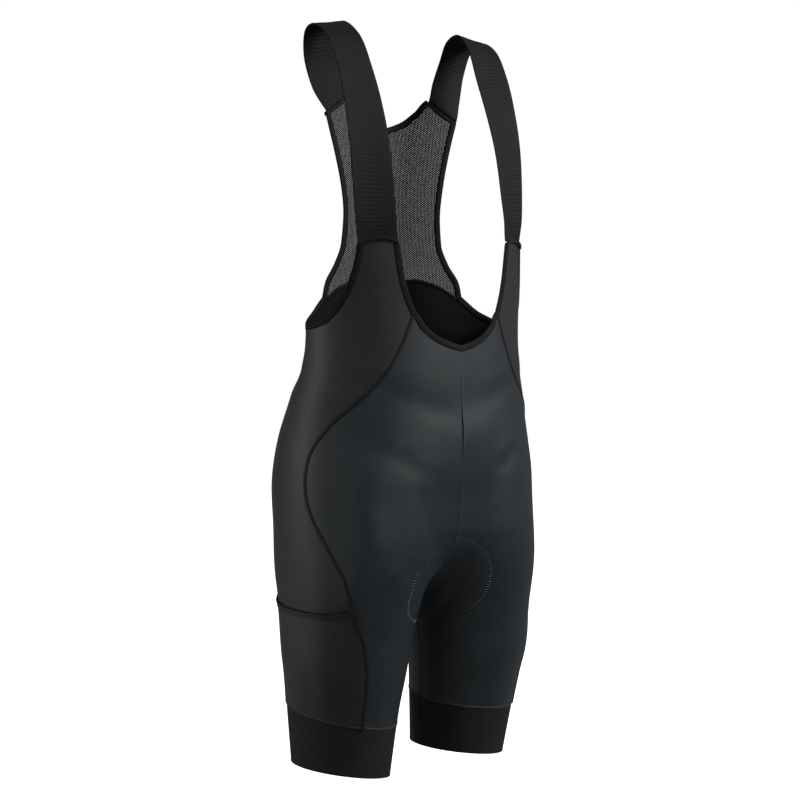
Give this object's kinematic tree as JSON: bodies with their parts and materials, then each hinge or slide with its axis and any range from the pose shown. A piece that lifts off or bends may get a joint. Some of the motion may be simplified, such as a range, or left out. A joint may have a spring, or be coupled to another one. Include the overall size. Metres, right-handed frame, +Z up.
{
  "type": "cycling bib shorts",
  "caption": "Close-fitting cycling bib shorts with elastic shoulder straps, a mesh upper back, thigh pockets and leg bands, hollow, in worn shape.",
  "frame": {"origin": "where the wearer's shoulders hold the straps, midway between the two straps at the height of their tops", "axes": "+Z up, the front faces -Y, +X to the wearer's left"},
  "size_m": [0.3404, 0.2191, 0.8854],
  "materials": {
    "front_cloth": "smooth dark knit",
    "side_cloth": "smooth dark knit",
    "mesh": "open net",
    "elastic": "ribbed elastic",
    "gripper": "dense knit band",
    "binding": "folded stretch tape"
  },
  "bodies": {
    "root": {"front_right": "front_cloth", "front_left": "front_cloth", "back_right": "side_cloth", "back_left": "side_cloth", "side_right": "side_cloth", "side_left": "side_cloth", "mesh_back": "mesh", "strap_right": "elastic", "strap_left": "elastic", "band_right": "gripper", "band_left": "gripper", "pocket_right": "side_cloth", "pocket_left": "side_cloth", "pocket_hem_right": "binding", "pocket_hem_left": "binding", "binding_neck_front": "binding", "binding_neck_back": "binding", "binding_arm_right": "binding", "binding_arm_left": "binding"}
  },
  "joints": []
}
